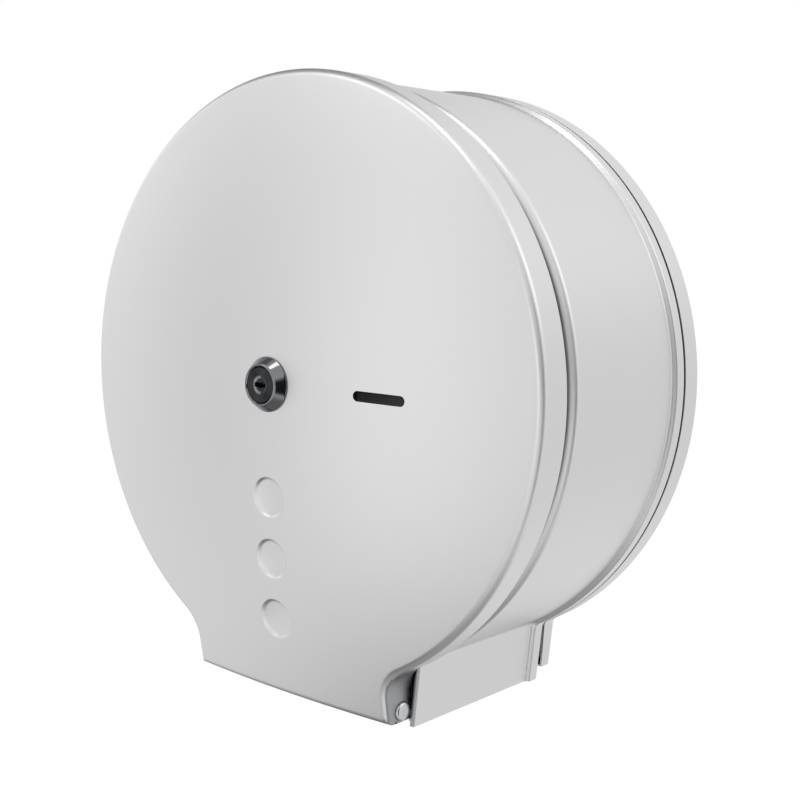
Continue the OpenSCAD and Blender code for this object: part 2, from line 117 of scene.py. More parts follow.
@dataclass
class Shape:
    """A mesh in the making: points in millimetres and the faces between them."""

    points: list[Point]
    faces: list[Face]

    def take(self, points: Sequence[Point], faces: Sequence[Face]) -> None:
        """Adds points, and faces that number those points from 0.

        Args:
            points: The points.
            faces: The faces.
        """
        start = len(self.points)
        self.points += points
        self.faces += [tuple(start + i for i in face) for face in faces]

    def piece(self, name: str, merge_mm: float = 0.002) -> bpy.types.Object:
        """Makes the mesh object, without doubles and with its faces outwards.

        Args:
            name: The piece's name.
            merge_mm: Points closer than this become one.

        Returns:
            The new object, at the origin, shaded smooth.
        """
        mesh = bpy.data.meshes.new(name)
        mesh.from_pydata([tuple(MM * c for c in p) for p in self.points], [], self.faces)
        mesh.validate()
        mesh.shade_smooth()
        bm = bmesh.new()
        bm.from_mesh(mesh)
        bmesh.ops.remove_doubles(bm, verts=bm.verts, dist=merge_mm * MM)
        bmesh.ops.recalc_face_normals(bm, faces=bm.faces)
        bm.to_mesh(mesh)
        bm.free()
        mesh.update()
        return linked(name, mesh)


def strip(rows: Sequence[Sequence[Point]], closed: bool) -> tuple[list[Point], list[Face]]:
    """Joins rows of points of equal length into a sheet.

    Args:
        rows: The rows of points.
        closed: Whether each row is a closed loop.

    Returns:
        The points and the four-sided faces.
    """
    n = len(rows[0])
    faces = []
    for k in range(len(rows) - 1):
        for i in range(n if closed else n - 1):
            j = (i + 1) % n
            faces.append((k * n + i, k * n + j, (k + 1) * n + j, (k + 1) * n + i))
    return [p for row in rows for p in row], faces


def solid(rows: Sequence[Sequence[Point]]) -> Shape:
    """A closed body through loops, with a flat face at each end.

    Args:
        rows: The loops, each with as many points.

    Returns:
        The body.
    """
    points, faces = strip(rows, closed=True)
    n, last = len(rows[0]), len(points) - len(rows[0])
    return Shape(points, faces + [tuple(range(n))[::-1], tuple(range(last, last + n))])


def circle(x: float, z: float, r: float, steps: int) -> list[Flat]:
    """The points of a circle round (x, z)."""
    turns = [2 * math.pi * i / steps for i in range(steps)]
    return [(x + r * math.cos(a), z + r * math.sin(a)) for a in turns]


def sharpen(obj: bpy.types.Object, degrees: float = 35.0) -> bpy.types.Object:
    """Marks edges sharper than an angle, so that a flat stays flat beside a curve."""
    obj.data.set_sharp_from_angle(angle=math.radians(degrees))
    return obj


def applied(obj: bpy.types.Object) -> bpy.types.Object:
    """Turns a piece with its modifiers into a plain mesh.

    Args:
        obj: The piece.

    Returns:
        The same piece, without modifiers.
    """
    graph = bpy.context.evaluated_depsgraph_get()
    graph.update()
    mesh = bpy.data.meshes.new_from_object(obj.evaluated_get(graph), depsgraph=graph)
    obj.modifiers.clear()
    obj.data = mesh
    return obj


def modified(obj: bpy.types.Object, kind: str, **settings) -> bpy.types.Object:
    """Works one modifier into a piece.

    Args:
        obj: The piece.
        kind: The modifier's type name.
        settings: Attributes of the modifier.

    Returns:
        The same piece, as a plain mesh.
    """
    mod = obj.modifiers.new(kind, kind)
    for key, value in settings.items():
        setattr(mod, key, value)
    return applied(obj)


def lathe(name: str, profile: Sequence[Flat], origin: Point, axis: Point = (0, -1, 0),
          steps: int = 96) -> bpy.types.Object:
    """Turns a profile round an axis.

    Args:
        name: The piece's name.
        profile: (radius, distance along the axis) pairs, as a closed or open line.
        origin: The point on the axis where the distance is 0.
        axis: Direction of the axis.
        steps: Number of steps round.

    Returns:
        The turned piece.
    """
    turn = Vector((0, 0, 1)).rotation_difference(Vector(axis)).to_matrix()
    rows = [[tuple(Vector(origin) + turn @ Vector((u, v, h))) for u, v in circle(0, 0, r, steps)]
            for r, h in profile]
    return sharpen(Shape(*strip(rows, closed=True)).piece(name), 30)


def prism(name: str, outline: Sequence[Flat], low: float, high: float,
          place: Callable[[float, float, float], Point]) -> bpy.types.Object:
    """Extrudes an outline, and puts each point where place says.

    Args:
        name: The piece's name.
        outline: The outline as (u, v) pairs.
        low: First value of the third coordinate.
        high: Last value of the third coordinate.
        place: Turns (u, v, w) into a point of the row frame.

    Returns:
        The extruded piece.
    """
    return sharpen(solid([[place(u, v, w) for u, v in outline] for w in (low, high)]).piece(name))


def rod(name: str, path: Sequence[Point], radius: float, steps: int = 20) -> bpy.types.Object:
    """A round rod along a path, with closed ends.

    Args:
        name: The piece's name.
        path: The points of its centre line.
        radius: Radius of the rod.
        steps: Number of steps round it.

    Returns:
        The rod.
    """
    line = [Vector(p) for p in path]
    rows = []
    for k, centre in enumerate(line):
        ahead = (line[min(k + 1, len(line) - 1)] - line[max(k - 1, 0)]).normalized()
        u = ahead.cross(Vector((0.3, 0.5, 0.8))).normalized()
        v = ahead.cross(u)
        rows.append([tuple(centre + a * u + b * v) for a, b in circle(0, 0, radius, steps)])
    return sharpen(solid(rows).piece(name), 50)


def dome(radius: float, height: float, rim: float, steps: int) -> list[Flat]:
    """The profile of a rivet's domed head, from its top down to its rim."""
    turns = [math.pi / 2 * k / steps for k in range(steps + 1)]
    return [(radius * math.sin(t), rim + (height - rim) * math.cos(t)) for t in turns]


def joined(name: str, pieces: Sequence[bpy.types.Object]) -> bpy.types.Object:
    """Joins pieces into one object.

    Args:
        name: Name of the result.
        pieces: The pieces, which are removed.

    Returns:
        One object with all their faces.
    """
    bm = bmesh.new()
    for piece in pieces:
        bm.from_mesh(piece.data)
        bpy.data.objects.remove(piece)
    mesh = bpy.data.meshes.new(name)
    bm.to_mesh(mesh)
    bm.free()
    return linked(name, mesh)


def inside(points: np.ndarray, loop: np.ndarray) -> np.ndarray:
    """Whether each point lies inside a closed loop.

    Args:
        points: An array of (x, z) rows.
        loop: The loop's corners, as rows.

    Returns:
        One truth value for each point.
    """
    x, z = points[:, 0], points[:, 1]
    found = np.zeros(len(points), bool)
    for (x0, z0), (x1, z1) in zip(loop, np.roll(loop, -1, axis=0)):
        if z0 == z1:
            continue
        crosses = (z0 > z) != (z1 > z)
        found ^= crosses & (x < (x1 - x0) * (z - z0) / (z1 - z0) + x0)
    return found


def panel(rim: Sequence[Flat], holes: Sequence[Sequence[Flat]],
          spacing: float) -> tuple[list[Flat], list[Face]]:
    """Fills a flat outline that has holes with even triangles.

    Args:
        rim: The outline, anticlockwise.
        holes: The outlines of the holes.
        spacing: Distance between the points inside.

    Returns:
        The points and the triangles.
    """
    loops = [np.array(loop, float) for loop in (rim, *holes)]

    def filled(dots: np.ndarray) -> np.ndarray:
        """Whether each point lies inside the rim and in none of the holes."""
        found = inside(dots, loops[0])
        for hole in loops[1:]:
            found &= ~inside(dots, hole)
        return found

    low, high = loops[0].min(0), loops[0].max(0)
    rise = spacing * 0.866  # the height of an even triangle
    rows = int((high[1] - low[1]) / rise) + 1
    dots = np.array([(x, low[1] + rise * r) for r in range(1, rows)
                     for x in np.arange(low[0] + spacing * (0.5 if r % 2 else 1.0), high[0], spacing)])
    edge_dots = np.concatenate(loops)
    near = np.array([np.min(np.hypot(*(edge_dots - d).T)) for d in dots])
    dots = dots[filled(dots) & (near > 0.55 * spacing)]
    edges: list[tuple[int, int]] = []
    start = 0
    for loop in loops:
        n = len(loop)
        edges += [(start + i, start + (i + 1) % n) for i in range(n)]
        start += n
    coords = [Vector(p) for p in np.concatenate([edge_dots, dots])]
    verts, _, tris, *_ = delaunay_2d_cdt(coords, edges, [], 1, 1e-7)
    flat = np.array([tuple(v) for v in verts])
    kept = filled(np.array([flat[list(t)].mean(0) for t in tris]))
    return [tuple(p) for p in flat], [tuple(t)[::-1] for t, k in zip(tris, kept) if k]


def smooth_step(t: float) -> float:
    """Goes from 0 to 1 with no slope at either end."""
    t = min(max(t, 0.0), 1.0)
    return t * t * (3 - 2 * t)


def wave(t: float) -> float:
    """Half a wave that rises from 0 to 1."""
    return (1 - math.cos(math.pi * min(max(t, 0.0), 1.0))) / 2


# ---- Materials ----


def linear(hex_colour: str) -> tuple[float, float, float, float]:
    """Turns an sRGB hex colour into linear values for a shader socket."""
    parts = [int(hex_colour[i : i + 2], 16) / 255 for i in (1, 3, 5)]
    return (*[c / 12.92 if c <= 0.04045 else ((c + 0.055) / 1.055) ** 2.4 for c in parts], 1.0)


def add(tree: bpy.types.NodeTree, kind: str, links: dict | None = None, **settings) -> bpy.types.Node:
    """Adds a node with its settings and links.

    Args:
        tree: The node tree.
        kind: The node's type name.
        links: Input name or number to an output socket or a value.
        settings: Attributes of the node.

    Returns:
        The new node.
    """
    node = tree.nodes.new(kind)
    for key, value in settings.items():
        setattr(node, key, value)
    for key, value in (links or {}).items():
        if isinstance(value, bpy.types.NodeSocket):
            tree.links.new(value, node.inputs[key])
        else:
            node.inputs[key].default_value = value
    return node


def empty_tree(owner: bpy.types.ID) -> bpy.types.NodeTree:
    """Gives a material or a world an empty node tree."""
    owner.use_nodes = True
    owner.node_tree.nodes.clear()
    return owner.node_tree


@dataclass(frozen=True)
class Finish:
    """A finish: what the material is and how its surface was made."""

    name: str
    colour: str
    metallic: float
    roughness: float
    grain_mm: tuple[float, float, float] = (1.0, 1.0, 1.0)
    grain_depth_mm: float = 0.0
    rough_swing: float = 0.0
    tone_swing: float = 0.0
    blotch_mm: float = 60.0
    lay: Lay = Lay.OBJECT

    def material(self) -> bpy.types.Material:
        """Builds the node material, once.

        Returns:
            The material.
        """
        known = bpy.data.materials.get(self.name)
        if known:
            return known
        made = bpy.data.materials.new(self.name)
        tree = empty_tree(made)
        shader = add(tree, "ShaderNodeBsdfPrincipled", {"Metallic": self.metallic})
        add(tree, "ShaderNodeOutputMaterial", {"Surface": shader.outputs["BSDF"]})
        self._grain(tree, shader, add(tree, "ShaderNodeTexCoord").outputs[self.lay.value])
        return made

    def _grain(self, tree: bpy.types.NodeTree, shader: bpy.types.Node,
               place: bpy.types.NodeSocket) -> None:
        """Adds brushed grain, slow blotches of roughness and a little tone.

        Args:
            tree: The node tree.
            shader: The principled shader.
            place: The coordinates that the grain follows, in metres.
        """
        per_metre = tuple(1.0 / (g * MM) for g in self.grain_mm)
        stretched = add(tree, "ShaderNodeMapping", {"Vector": place, "Scale": per_metre})
        grain = add(tree, "ShaderNodeTexNoise",
                    {"Vector": stretched.outputs["Vector"], "Scale": 1.0, "Detail": 3.0,
                     "Roughness": 0.6})
        blotch = add(tree, "ShaderNodeTexNoise",
                     {"Vector": place, "Scale": 1.0 / (self.blotch_mm * MM), "Detail": 2.0})
        rough = add(tree, "ShaderNodeMapRange",
                    {"Value": grain.outputs[0], "From Min": 0.3, "From Max": 0.7,
                     "To Min": self.roughness - self.rough_swing,
                     "To Max": self.roughness + self.rough_swing})
        slow = add(tree, "ShaderNodeMath",
                   {0: blotch.outputs[0], 1: 0.5 * self.rough_swing, 2: rough.outputs[0]},
                   operation="MULTIPLY_ADD")
        tree.links.new(slow.outputs[0], shader.inputs["Roughness"])
        base = linear(self.colour)
        dark = (*[c * (1 - self.tone_swing) for c in base[:3]], 1.0)
        tone = add(tree, "ShaderNodeMix", {"Factor": grain.outputs[0], 6: dark, 7: base},
                   data_type="RGBA")
        tree.links.new(tone.outputs[2], shader.inputs["Base Color"])
        if self.grain_depth_mm:
            bump = add(tree, "ShaderNodeBump",
                       {"Height": grain.outputs[0], "Strength": 1.0,
                        "Distance": self.grain_depth_mm * MM})
            tree.links.new(bump.outputs["Normal"], shader.inputs["Normal"])


# 304 stainless sheet, satin brushed up the face: soft wide reflections, hair lines.
SATIN_FACE = Finish("stainless_sheet_satin_face", "#DADADB", 1.0, 0.36,
                    grain_mm=(0.45, 0.45, 26.0), grain_depth_mm=0.0006,
                    rough_swing=0.03, tone_swing=0.03)
# The same sheet rolled into a band: the grain runs round the drum.
SATIN_BAND = Finish("stainless_sheet_satin_band", "#DADADB", 1.0, 0.36,
                    grain_mm=(30.0, 0.5, 1.0), grain_depth_mm=0.0008,
                    rough_swing=0.04, tone_swing=0.04, lay=Lay.SHEET)
# Stainless pressings inside, with a mill finish: duller and a little greyer.
MILL_SHEET = Finish("stainless_sheet_mill", "#C9C9CB", 1.0, 0.42,
                    grain_mm=(0.8, 14.0, 0.8), grain_depth_mm=0.0006,
                    rough_swing=0.05, tone_swing=0.06)
# The same sheet on the inside of the housing, unbrushed; its dark grey is painted shade for the closed
# interior.
SHADED_INSIDE = Finish("stainless_sheet_inside_painted_shade", "#8A8A8C", 1.0, 0.5,
                     grain_mm=(1.2, 1.2, 1.2), grain_depth_mm=0.0006,
                     rough_swing=0.05, tone_swing=0.10)
# The same sheet where it is folded or turned in: left as the press made it and blurred, and greyer as
# painted shade for the recesses it sits in.
SHADED_FOLD = Finish("stainless_sheet_fold_painted_shade", "#A6A7A9", 1.0, 0.38,
                   grain_mm=(0.8, 3.0, 0.8), grain_depth_mm=0.001,
                   rough_swing=0.05, tone_swing=0.16)
# Aluminium rivets, upset cold: bright, softly pitted.
RIVET_METAL = Finish("aluminium_rivet_upset", "#C6C7C9", 1.0, 0.2,
                     grain_mm=(0.5, 0.5, 0.5), grain_depth_mm=0.004,
                     rough_swing=0.06, tone_swing=0.05)
# Die-cast zinc with a bright chrome plate: sharp dark and light reflections.
CHROME = Finish("zinc_die_cast_chromed", "#828385", 1.0, 0.07,
                grain_mm=(0.5, 0.5, 0.5), grain_depth_mm=0.0012, rough_swing=0.03, tone_swing=0.12)
# The plug's face is turned, with ring marks; its dark colour is painted shade for the dark reflections on
# its face.
PLUG_PAINTED_DARK = Finish("brass_plug_painted_dark", "#3E3F41", 1.0, 0.22,
                      grain_mm=(0.6, 0.6, 0.6), grain_depth_mm=0.001,
                      rough_swing=0.05, tone_swing=0.25)
# Zinc plated steel: bluish grey with a slight cloud.
ZINC_PLATE = Finish("steel_zinc_plated", "#B9BDC1", 1.0, 0.33,
                    grain_mm=(4.0, 4.0, 4.0), grain_depth_mm=0.001,
                    rough_swing=0.06, tone_swing=0.10)
# Moulded polypropylene: off-white, a fine spark-eroded skin.
MOULDED_WHITE = Finish("polypropylene_moulded_white", "#DEDDD8", 0.0, 0.46,
                       grain_mm=(0.5, 0.5, 0.5), grain_depth_mm=0.006,
                       rough_swing=0.06, tone_swing=0.02)
# Nylon washer: milky and slightly waxy.
NYLON = Finish("nylon_washer", "#E9E7DF", 0.0, 0.38,
               grain_mm=(0.7, 0.7, 0.7), grain_depth_mm=0.003,
               rough_swing=0.04, tone_swing=0.02)
# Spring steel, hardened and oiled black.
BLACK_SPRING = Finish("spring_steel_blackened", "#3B3C3E", 1.0, 0.4,
                      grain_mm=(0.8, 0.8, 0.8), grain_depth_mm=0.002,
                      rough_swing=0.08, tone_swing=0.2)


def dress(obj: bpy.types.Object, finish: Finish, body: Body, slot: Slot, *nodes: str) -> None:
    """Gives a new piece its finish, its body and the CAD nodes it stands for.

    Args:
        obj: The piece.
        finish: Its finish, which takes the piece's first material slot.
        body: The body it moves with.
        slot: The record's material slot; not used.
        nodes: CAD nodes that it replaces.
    """
    if obj.data.materials:
        obj.data.materials[0] = finish.material()
    else:
        obj.data.materials.append(finish.material())
    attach(obj, body.value)
    if nodes:
        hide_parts(*nodes)
    LOG.info("%s: %d faces on %s", obj.name, len(obj.data.polygons), body.value)


# ---- Geometry node trees ----


def new_tree(name: str, **inputs: str) -> tuple[bpy.types.NodeTree, bpy.types.Node]:
    """Starts a geometry node tree.

    Args:
        name: The tree's name.
        inputs: Each input's name and its socket type.

    Returns:
        The tree and its input node.
    """
    tree = bpy.data.node_groups.new(name, "GeometryNodeTree")
    for label, kind in inputs.items():
        tree.interface.new_socket(name=label, in_out="INPUT", socket_type=kind)
    tree.interface.new_socket(name="Geometry", in_out="OUTPUT", socket_type="NodeSocketGeometry")
    return tree, add(tree, "NodeGroupInput")


def close_tree(tree: bpy.types.NodeTree, geometry: bpy.types.NodeSocket,
               given: bpy.types.NodeSocket) -> None:
    """Ends a tree in real geometry with a material.

    Args:
        tree: The geometry node tree.
        geometry: The output that holds the geometry.
        given: The input that holds the material.
    """
    real = add(tree, "GeometryNodeRealizeInstances", {"Geometry": geometry})
    dressed = add(tree, "GeometryNodeSetMaterial", {"Geometry": real.outputs[0], "Material": given})
    add(tree, "NodeGroupOutput", {"Geometry": dressed.outputs[0]})


def grown(tree: bpy.types.NodeTree, name: str, **values) -> bpy.types.Object:
    """Runs a tree with its inputs and keeps the result as a plain mesh.

    Args:
        tree: The geometry node tree.
        name: Name of the piece.
        values: A value for each of the tree's inputs.

    Returns:
        The piece, without a modifier.
    """
    obj = linked(name, bpy.data.meshes.new(name))
    mod = obj.modifiers.new("grow", "NODES")
    mod.node_group = tree
    for item in tree.interface.items_tree:
        if item.in_out == "INPUT":
            mod[item.identifier] = values[item.name]
    return applied(obj)


def ring_tree() -> bpy.types.NodeTree:
    """Builds the tree that sets copies of a piece at even steps round the Y axis.

    Returns:
        The tree, whose inputs are in metres and radians.
    """
    tree, size = new_tree("pieces_round_the_axis", Piece="NodeSocketObject", Count="NodeSocketInt",
                          Radius="NodeSocketFloat", First_angle="NodeSocketFloat",
                          Material="NodeSocketMaterial")
    ring = add(tree, "GeometryNodeMeshCircle",
               {"Vertices": size.outputs["Count"], "Radius": size.outputs["Radius"]})
    back = add(tree, "ShaderNodeMath", {0: size.outputs["First_angle"], 1: -1.0}, operation="MULTIPLY")
    turn = add(tree, "ShaderNodeCombineXYZ", {"X": math.pi / 2, "Y": back.outputs[0]})
    turned = add(tree, "GeometryNodeTransform",
                 {"Geometry": ring.outputs[0], "Rotation": turn.outputs[0]})
    piece = add(tree, "GeometryNodeObjectInfo", {"Object": size.outputs["Piece"]})
    copies = add(tree, "GeometryNodeInstanceOnPoints",
                 {"Points": turned.outputs[0], "Instance": piece.outputs["Geometry"]})
    close_tree(tree, copies.outputs[0], size.outputs["Material"])
    return tree


def thread_tree() -> bpy.types.NodeTree:
    """Builds the tree that winds a thread along -Y, cut off at flats above and below.

    Returns:
        The tree, whose inputs are in metres.
    """
    tree, size = new_tree("thread_with_flats", Radius="NodeSocketFloat", Pitch="NodeSocketFloat",
                          Turns="NodeSocketFloat", Crest="NodeSocketFloat", Flats="NodeSocketFloat",
                          Rear="NodeSocketFloat", Material="NodeSocketMaterial")
    length = add(tree, "ShaderNodeMath",
                 {0: size.outputs["Pitch"], 1: size.outputs["Turns"]}, operation="MULTIPLY")
    helix = add(tree, "GeometryNodeCurveSpiral",
                {"Resolution": 40, "Rotations": size.outputs["Turns"], "Height": length.outputs[0],
                 "Start Radius": size.outputs["Radius"], "End Radius": size.outputs["Radius"]})
    crest = add(tree, "GeometryNodeCurvePrimitiveCircle",
                {"Resolution": 6, "Radius": size.outputs["Crest"]})
    wound = add(tree, "GeometryNodeCurveToMesh",
                {"Curve": helix.outputs[0], "Profile Curve": crest.outputs[0], "Fill Caps": True})
    place = add(tree, "ShaderNodeCombineXYZ", {"Y": size.outputs["Rear"]})
    laid = add(tree, "GeometryNodeTransform",
               {"Geometry": wound.outputs[0], "Translation": place.outputs[0],
                "Rotation": (math.pi / 2, 0, 0)})
    between = add(tree, "ShaderNodeCombineXYZ", {"X": 1.0, "Y": 1.0, "Z": size.outputs["Flats"]})
    block = add(tree, "GeometryNodeMeshCube", {"Size": between.outputs[0]})
    cut = add(tree, "GeometryNodeMeshBoolean", operation="INTERSECT")
    tree.links.new(laid.outputs[0], cut.inputs["Mesh 2"])
    tree.links.new(block.outputs[0], cut.inputs["Mesh 2"])
    close_tree(tree, cut.outputs["Mesh"], size.outputs["Material"])
    return tree


# ---- The outline that the three shells share ----


@dataclass(frozen=True)
class Outline:
    """A round body with a foot. Sizes are in millimetres, the lean in degrees."""

    r: float
    foot_w: float
    low: float
    waist: float
    lean: float = 0.0
    arc_steps: int = 224
    waist_steps: int = 14
    foot_steps: int = 5

    def inset(self, d: float, rise: bool = True) -> "Outline":
        """The same outline drawn in by d.

        Args:
            d: The distance.
            rise: Whether the lower edge moves up as well.

        Returns:
            The smaller outline.
        """
        lean, up = math.radians(self.lean), d if rise else 0.0
        foot_in = d / math.cos(lean) - up * math.tan(lean)
        return replace(self, r=self.r - d, foot_w=self.foot_w - foot_in, low=self.low + up,
                       waist=self.waist + d)

    def right(self) -> list[Flat]:
        """The right half, from the foot's lower corner to the top.

        Returns:
            The foot's straight side, the waist's fillet and the body's arc.
        """
        t, f = math.radians(self.lean), self.waist
        off = self.foot_w * math.cos(t) - self.low * math.sin(t) + f
        down = math.sqrt((self.r + f) ** 2 - off * off)
        cx, cz = off * math.cos(t) - down * math.sin(t), -off * math.sin(t) - down * math.cos(t)
        first, start = math.pi - t, math.atan2(cz, cx)
        x0, z0 = cx + f * math.cos(first), cz + f * math.sin(first)
        side = [(self.foot_w + (x0 - self.foot_w) * i / self.foot_steps,
                 self.low + (z0 - self.low) * i / self.foot_steps) for i in range(self.foot_steps)]
        turn = math.pi + start - first
        fillet = [first + turn * i / self.waist_steps for i in range(self.waist_steps + 1)]
        half = self.arc_steps // 2
        arc = [start + (math.pi / 2 - start) * i / half for i in range(1, half + 1)]
        return (side + [(cx + f * math.cos(a), cz + f * math.sin(a)) for a in fillet]
                + [(self.r * math.cos(a), self.r * math.sin(a)) for a in arc])

    def band(self) -> list[Flat]:
        """From the right lower corner over the top to the left lower corner."""
        right = self.right()
        return right + [(-x, z) for x, z in right[-2::-1]]

    def loop(self, low_steps: int = 40) -> list[Flat]:
        """The closed outline, anticlockwise as seen from the front."""
        w = self.foot_w
        return self.band() + [(-w + 2 * w * i / low_steps, self.low) for i in range(1, low_steps)]


def unroll(obj: bpy.types.Object, radius: float = 0.13) -> None:
    """Gives a shell a UV map in metres: round the body, then along its depth.

    Args:
        obj: The shell.
        radius: The radius at which the sheet is unrolled, in metres.
    """
    mesh = obj.data
    coords = np.array([v.co for v in mesh.vertices])
    corners = np.array([loop.vertex_index for loop in mesh.loops])
    angle = np.arctan2(coords[:, 0], coords[:, 2])
    uv = np.stack([angle * radius, coords[:, 1]], axis=1)[corners]
    for face in mesh.polygons:
        part = uv[face.loop_start : face.loop_start + face.loop_total, 0]
        if part.max() - part.min() > math.pi * radius:  # the face lies across the seam
            part[part < 0] += 2 * math.pi * radius
    mesh.uv_layers.new(name="sheet").data.foreach_set("uv", uv.astype(np.float32).ravel())


def thickened(obj: bpy.types.Object, sheet: float, edge: float) -> None:
    """Gives a shell its sheet thickness, inwards, with an outer finish and a darker inner finish that is
    painted shade.

    Args:
        obj: The shell, with its faces outwards.
        sheet: Thickness of the sheet.
        edge: Rounding of the cut edges.
    """
    obj.data.materials.append(SATIN_FACE.material())
    # The inner faces take the dark inside finish: painted shade.
    obj.data.materials.append(SHADED_INSIDE.material())
    modified(obj, "SOLIDIFY", thickness=sheet * MM, offset=-1.0, use_even_offset=True,
             material_offset=1)
    modified(obj, "BEVEL", width=edge * MM, segments=2, limit_method="ANGLE",
             angle_limit=math.radians(50), harden_normals=True)
    obj.data.shade_smooth()
    # Weighted normals keep the flat sheet flat in the shading, right up to its curves
    modified(sharpen(obj, 50), "WEIGHTED_NORMAL", keep_sharp=True, weight=50)


# ---- Shells ----


@dataclass
class Shells:
    """The back plate, the drum and the lid, with the sizes they share."""

    body_r: float = 132.0
    depth: float = 132.0
    sheet: float = 1.0
    # The lid: its crowned face, rim, flange and openings
    face_r: float = 690.0
    flange: float = 15.0
    foot_flange: float = 3.5  # how much deeper the flange is at the foot
    foot_flange_up: float = 18.0  # where that starts, above the body's lowest point
    foot_flange_run: float = 14.0
    low_flange: float = 2.4  # how deep the flange is along the foot's lower edge
    rim_round: float = 3.0
    lid_foot_w: float = 58.5
    foot_drop: float = 7.6
    lid_waist: float = 16.0
    barrel_d: float = 18.0
    slot_length: float = 21.0
    slot_w: float = 4.3
    slot_x: float = 60.0
    dimple_d: float = 17.4
    dimple_depth: float = 1.3
    dimple_heights: tuple[float, ...] = (-49.0, -76.4, -103.8)
    # The drum: its band, the neck inside the lid, the shoulder, the step and the foot
    band_in: float = 2.0  # how far the band lies inside the body's radius
    neck_front: float = 8.0
    neck_gap: float = 9.0
    shoulder: float = 12.4
    shoulder_run: float = 4.5
    step_back: float = 6.1
    step_run: float = 2.8
    drum_foot_w: float = 61.5
    foot_gap: float = 3.0  # between the lid's flange and the foot
    foot_lean: float = 4.8
    foot_extra: float = 2.9
    drum_waist: float = 4.0
    drum_lip: float = 11.0
    hem_d: float = 3.0
    hem_length: float = 27.0
    fold_back: float = 2.5
    fold_depth: float = 0.9
    fold_reach: float = 4.6
    # The back plate: a shallow pan with a rounded edge on the wall
    back_rim: float = 12.5
    rim_trim: float = 0.5
    shadow_gap: float = 1.3
    back_round: float = 2.5
    wall_hole_x: float = 60.0
    wall_hole_z: float = 50.0
    wall_hole_r: float = 3.0
    rivet_hole_r: float = 2.1
    pan_foot_up: float = 4.0
    # How the pan's front edge falls back at its foot: how far, from which height, over what height
    pan_falls: tuple[Point, ...] = ((3.0, -106.0, 12.0), (1.6, -112.0, 32.0))

    @property
    def lid_low(self) -> float:
        """Height of the lid's lower edge."""
        return -self.body_r - self.foot_drop

    @property
    def drum_low(self) -> float:
        """Height of the drum's lower edge."""
        return self.lid_low - self.foot_extra

    @property
    def face_cy(self) -> float:
        """Where the centre of the crowned face lies along Y."""
        return self.face_r - self.depth

    @property
    def rim_y(self) -> float:
        """Depth of the face's sphere at the body's radius."""
        return self.face_y(self.body_r, 0.0)

    @property
    def lid_rear(self) -> float:
        """Depth of the flange's rear edge."""
        return self.rim_y + self.flange

    @property
    def drum_rear(self) -> float:
        """Depth of the drum's rear end."""
        return -self.back_rim - self.shadow_gap

    @property
    def foot_front(self) -> float:
        """Depth of the front edge of the drum's foot."""
        return self.lid_rear + self.foot_gap

    def face_y(self, x: float, z: float) -> float:
        """Depth of the crowned face at a point."""
        return self.face_cy - math.sqrt(self.face_r**2 - x * x - z * z)

    def flange_rear(self, z: float) -> float:
        """Depth of the flange's rear edge at a height: further back at the foot."""
        down = self.foot_flange_up - self.body_r - z
        return self.lid_rear + self.foot_flange * smooth_step(down / self.foot_flange_run)

    def on_face(self, z: float, a: float, b: float, deep: float) -> Point:
        """A point near the face, placed from the face's own normal.

        Args:
            z: Height where the local frame stands.
            a: Distance to the right.
            b: Distance along the face, upwards.
            deep: Distance behind the face's sphere.

        Returns:
            The point in the row frame.
        """
        tilt = math.asin(z / self.face_r)
        h = math.sqrt(self.face_r**2 - a * a - b * b) - deep
        return (a, self.face_cy - h * math.cos(tilt) + b * math.sin(tilt),
                h * math.sin(tilt) + b * math.cos(tilt))

    @staticmethod
    def _faced(obj: bpy.types.Object, towards: Callable[[Vector], Sequence[float]]) -> bpy.types.Object:
        """Turns an open shell's faces round if they look the wrong way.

        Args:
            obj: The shell.
            towards: Gives the right direction at a point.

        Returns:
            The same shell.
        """
        if sum(p.area * p.normal.dot(Vector(towards(p.center))) for p in obj.data.polygons) < 0:
            obj.data.flip_normals()
        return obj

    # -- the lid --

    def dimple(self, z: float) -> tuple[list[Flat], list[Point], list[Face]]:
        """One pressed dimple.

        Args:
            z: Height of its centre.

        Returns:
            The loop where it meets the face, and its own points and faces.
        """
        r, d, steps = self.dimple_d / 2, self.dimple_depth, 64
        profile = [(r + 0.7, 0.0), (r + 0.4, 0.02), (r + 0.15, 0.09), (r - 0.2, 0.3), (r - 0.5, 0.5),
                   (r - 0.8, 0.63), (r - 1.2, 0.7), (r - 2.0, 0.77), (r - 3.4, 0.86), (r - 5.0, 0.94),
                   (r - 6.8, 0.99), (0.8, 1.0)]
        rows = [[self.on_face(z, a, b, share * d) for a, b in circle(0, 0, rho, steps)]
                for rho, share in profile]
        points, faces = strip(rows, closed=True)
        floor = tuple(range(len(points) - steps, len(points)))
        return [(p[0], p[2]) for p in rows[0]], points, faces + [floor]

    def slot(self) -> list[Flat]:
        """The level slot in the lid, with round ends.

        Returns:
            Its outline.
        """
        half, r = self.slot_length / 2, self.slot_w / 2
        turns = [math.pi * i / 12 for i in range(13)]
        return [(self.slot_x + s * (half + r * math.sin(a)), -s * r * math.cos(a))
                for s in (1, -1) for a in turns]

